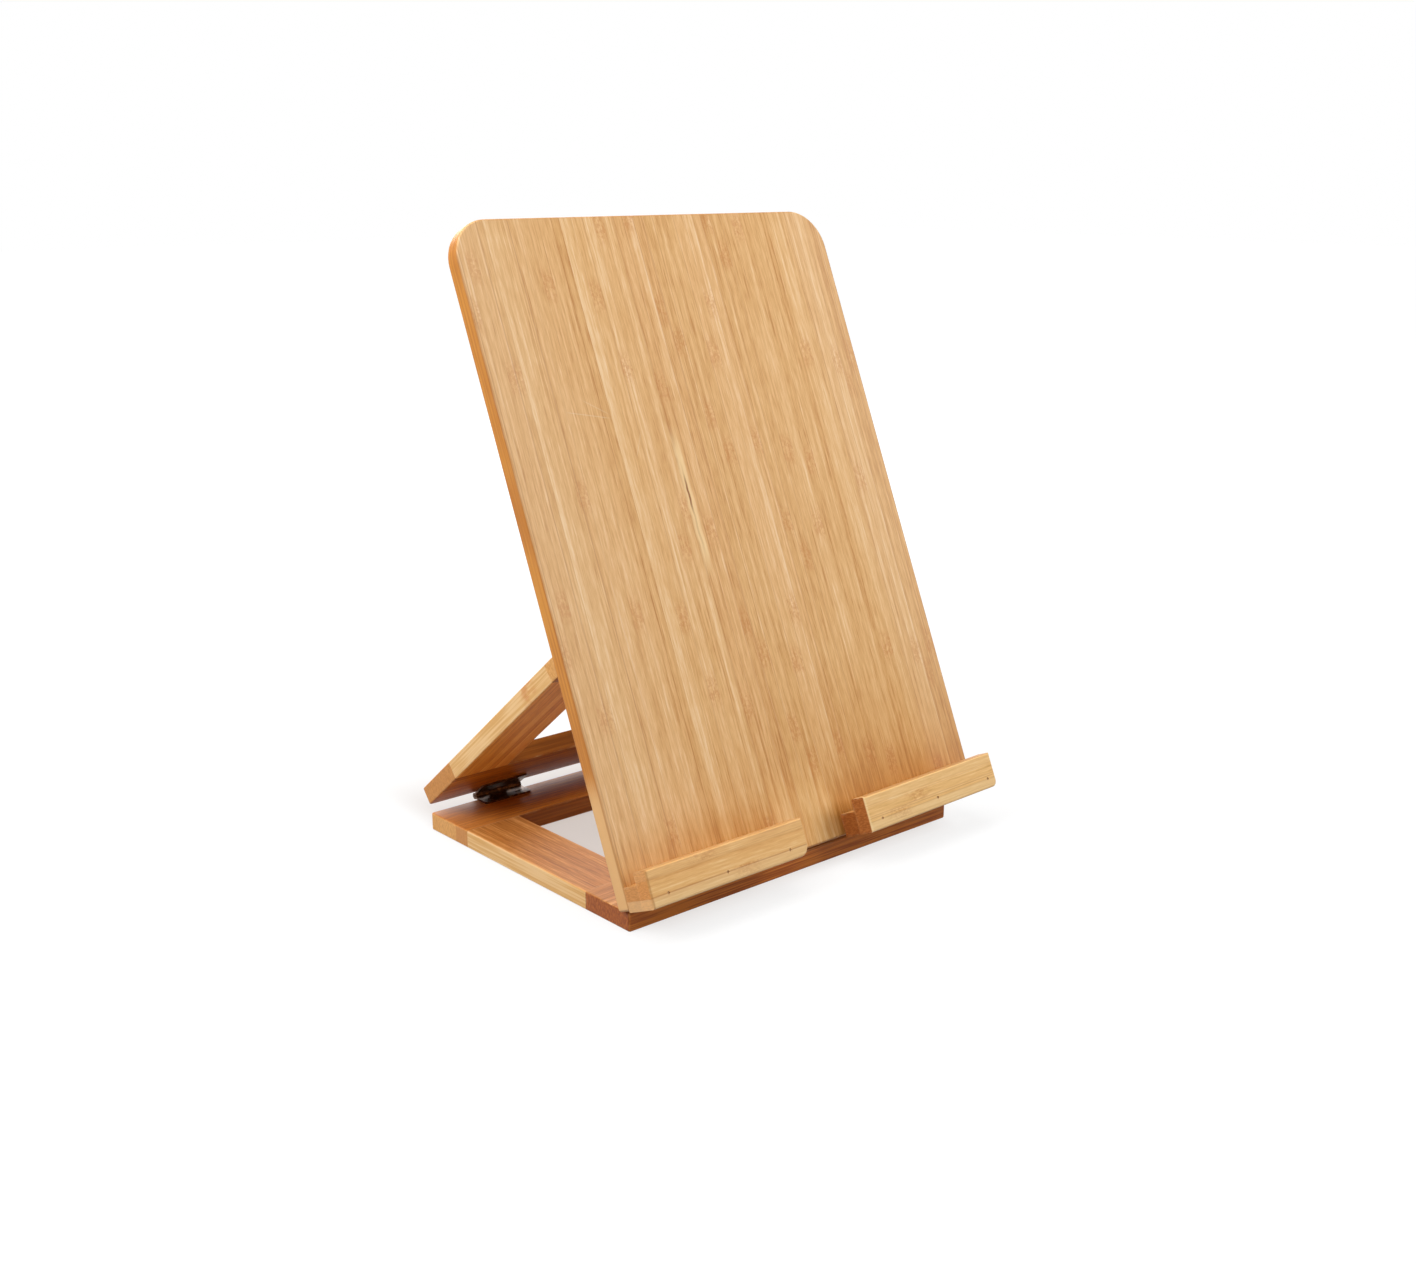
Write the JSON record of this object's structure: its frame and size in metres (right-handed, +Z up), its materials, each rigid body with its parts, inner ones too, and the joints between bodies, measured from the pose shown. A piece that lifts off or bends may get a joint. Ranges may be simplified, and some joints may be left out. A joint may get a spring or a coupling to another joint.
{
  "type": "bible stand",
  "caption": "Folding bamboo book stand: a tall leaning board with two short ledges, propped by a hinged strut frame on a flat base frame.",
  "frame": {"origin": "middle of the base's front rail, on its underside, where the stand rests on the table", "axes": "+X to the reader's right, +Y from the reader to the rear, +Z up"},
  "size_m": [0.22, 0.1829, 0.29],
  "materials": {
    "board_bamboo": "satin clear lacquer on lengthwise bamboo strips",
    "frame_bamboo": "satin clear lacquer on laminated bamboo rails",
    "ledge_bamboo": "satin clear lacquer on laminated bamboo strips",
    "dowel_wood": "bare turned wood, hidden in the joints",
    "hinge_bronze": "dark bronze plated steel, worn at the edges",
    "fastener_steel": "dark bronzed steel"
  },
  "bodies": {
    "base": {"base_front_rail": "frame_bamboo", "base_rear_rail": "frame_bamboo", "base_left_rail": "frame_bamboo", "base_right_rail": "frame_bamboo", "base_dowels": "dowel_wood", "rear_left_hinge_base_leaf": "hinge_bronze", "rear_left_hinge_pin": "hinge_bronze", "rear_right_hinge_base_leaf": "hinge_bronze", "rear_right_hinge_pin": "hinge_bronze", "rear_hinge_base_screws": "fastener_steel"},
    "strut": {"strut_top_rail": "frame_bamboo", "strut_bottom_rail": "frame_bamboo", "strut_left_rail": "frame_bamboo", "strut_right_rail": "frame_bamboo", "strut_dowels": "dowel_wood", "rear_left_hinge_strut_leaf": "hinge_bronze", "rear_right_hinge_strut_leaf": "hinge_bronze", "rear_hinge_strut_screws": "fastener_steel", "top_left_hinge_strut_leaf": "hinge_bronze", "top_right_hinge_strut_leaf": "hinge_bronze", "top_left_hinge_pin": "hinge_bronze", "top_right_hinge_pin": "hinge_bronze", "top_hinge_strut_screws": "fastener_steel"},
    "board": {"board": "board_bamboo", "left_ledge_shelf": "ledge_bamboo", "left_ledge_lip": "ledge_bamboo", "left_ledge_brads": "fastener_steel", "right_ledge_shelf": "ledge_bamboo", "right_ledge_lip": "ledge_bamboo", "right_ledge_brads": "fastener_steel", "top_left_hinge_board_leaf": "hinge_bronze", "top_right_hinge_board_leaf": "hinge_bronze", "top_hinge_board_screws": "fastener_steel"}
  },
  "joints": [
    {"name": "strut_fold", "type": "hinge", "parent": "base", "child": "strut", "pos_m": [0, 0.14105, 0.01], "axis": [1, 0, 0], "range_deg": [0, 39.54]},
    {"name": "board_fold", "type": "hinge", "parent": "strut", "child": "board", "pos_m": [0, 0.03415, 0.11329], "axis": [1, 0, 0], "range_deg": [-106.39, 0]}
  ],
  "couplings": [
    {"joint": "board_fold", "follows": "strut_fold", "ratio": -2.6906}
  ]
}
